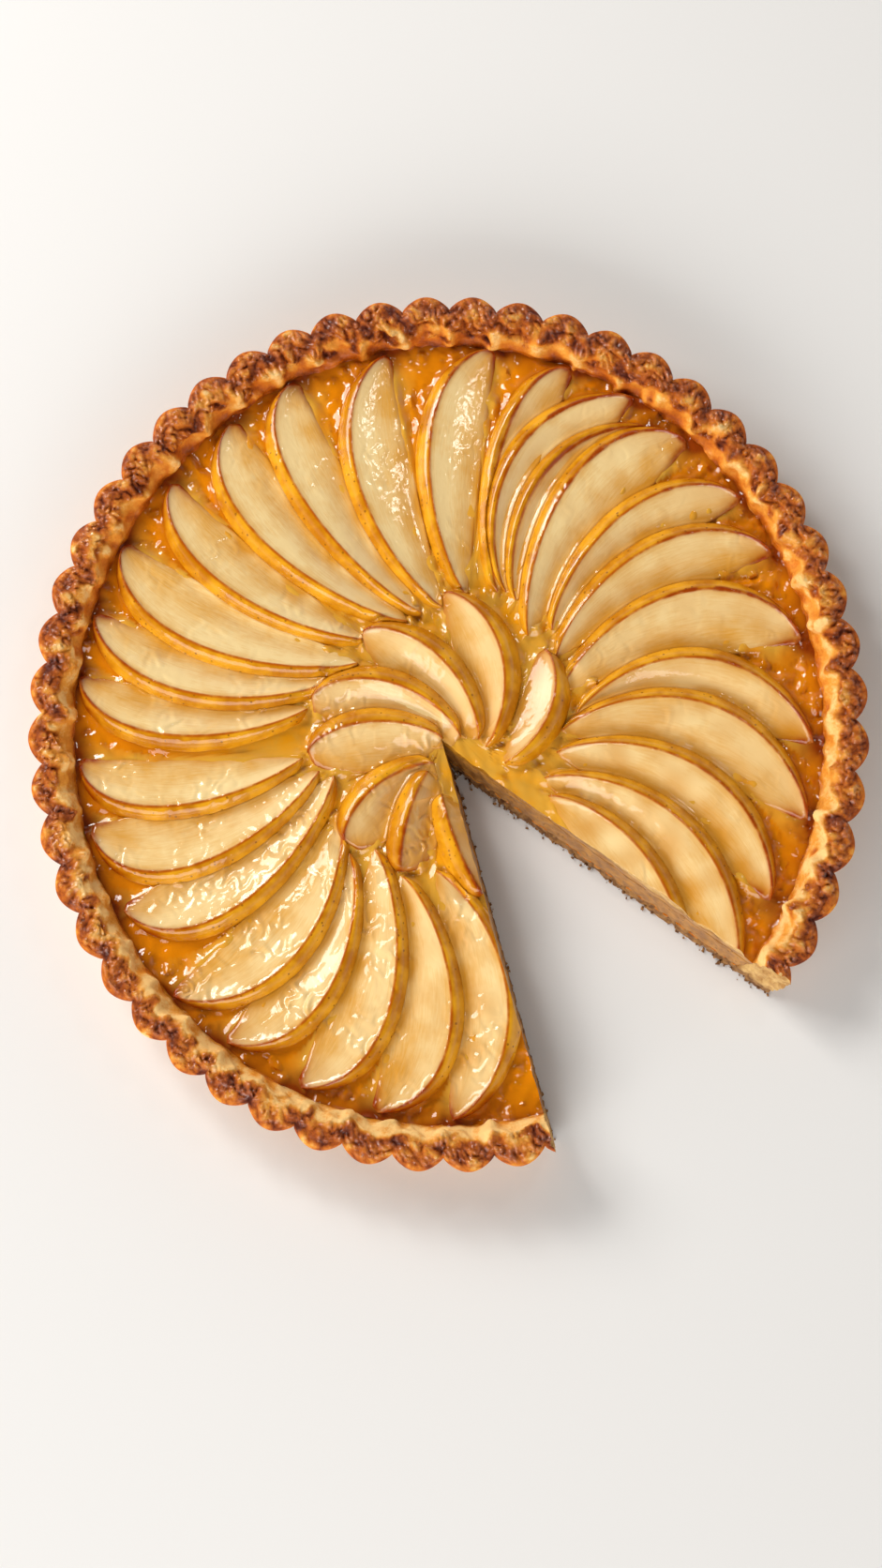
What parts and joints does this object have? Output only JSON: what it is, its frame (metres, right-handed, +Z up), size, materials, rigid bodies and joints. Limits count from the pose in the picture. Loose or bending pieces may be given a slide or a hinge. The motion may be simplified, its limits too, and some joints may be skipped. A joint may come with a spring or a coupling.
{
  "type": "pear tart",
  "caption": "Round fluted shortcrust tart with cream filling and fanned glazed pear slices, one wedge cut out.",
  "frame": {"origin": "middle of the flat base, on the surface that the tart stands on, as if it were whole", "axes": "+Z up through the pears; +Y away from the side that is nearest the viewer in the picture, along the tart's slightly longer diameter; +X to the viewer's right. The missing wedge opens towards +X and -Y."},
  "size_m": [0.2842, 0.3013, 0.0286],
  "materials": {
    "crust": "baked, craggy",
    "filling": "satin",
    "glaze": "wet gloss",
    "pear": "glazed gloss"
  },
  "bodies": {
    "root": {"crust": "crust", "filling": "filling", "glaze": "glaze", "pear_outer_01": "pear", "pear_outer_02": "pear", "pear_outer_03": "pear", "pear_outer_04": "pear", "pear_outer_05": "pear", "pear_outer_06": "pear", "pear_outer_07": "pear", "pear_outer_08": "pear", "pear_outer_09": "pear", "pear_outer_10": "pear", "pear_outer_11": "pear", "pear_outer_12": "pear", "pear_outer_13": "pear", "pear_outer_14": "pear", "pear_outer_15": "pear", "pear_outer_16": "pear", "pear_outer_17": "pear", "pear_outer_18": "pear", "pear_outer_19": "pear", "pear_outer_20": "pear", "pear_outer_21": "pear", "pear_outer_22": "pear", "pear_outer_23": "pear", "pear_outer_24": "pear", "pear_outer_25": "pear", "pear_outer_26": "pear", "pear_outer_27": "pear", "pear_outer_28": "pear", "pear_inner_1": "pear", "pear_inner_2": "pear", "pear_inner_3": "pear", "pear_inner_4": "pear", "pear_inner_5": "pear", "pear_inner_6": "pear", "pear_inner_7": "pear", "pear_inner_8": "pear"}
  },
  "joints": []
}
